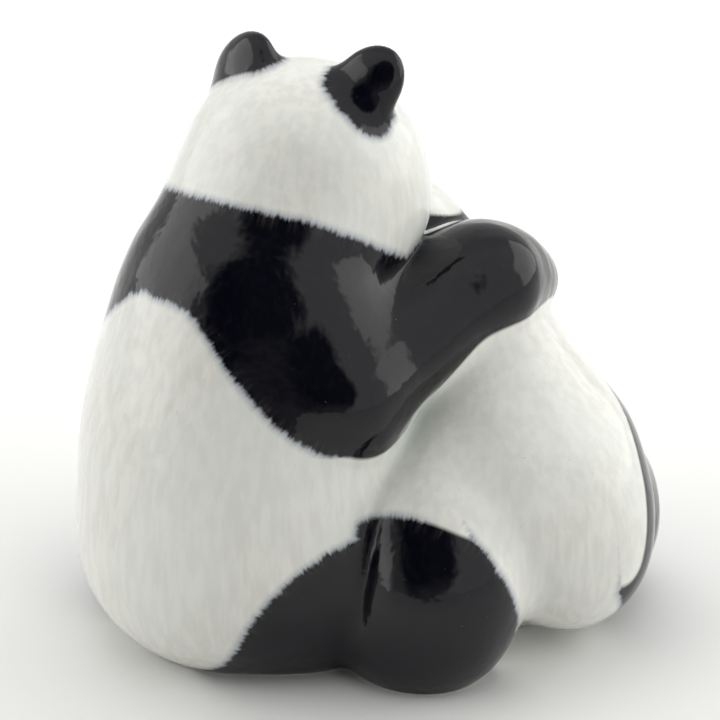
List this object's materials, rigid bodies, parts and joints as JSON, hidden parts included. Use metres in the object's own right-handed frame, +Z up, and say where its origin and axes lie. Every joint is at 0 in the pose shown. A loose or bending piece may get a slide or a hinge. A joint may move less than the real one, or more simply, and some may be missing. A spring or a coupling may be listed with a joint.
{
  "type": "panda figurine",
  "caption": "Glazed porcelain figurine of an adult panda hugging a young one as both sit, cast as one piece with a flat underside.",
  "frame": {"origin": "on the table under the middle of the figurine's box", "axes": "+Z up, the pandas' faces look to -Y, their backs to +Y; the adult is on the +X side"},
  "size_m": [0.1436, 0.1236, 0.145],
  "materials": {
    "glaze": "white glaze with black underglaze patches, high gloss"
  },
  "bodies": {
    "root": {"panda_pair": "glaze"}
  },
  "joints": []
}
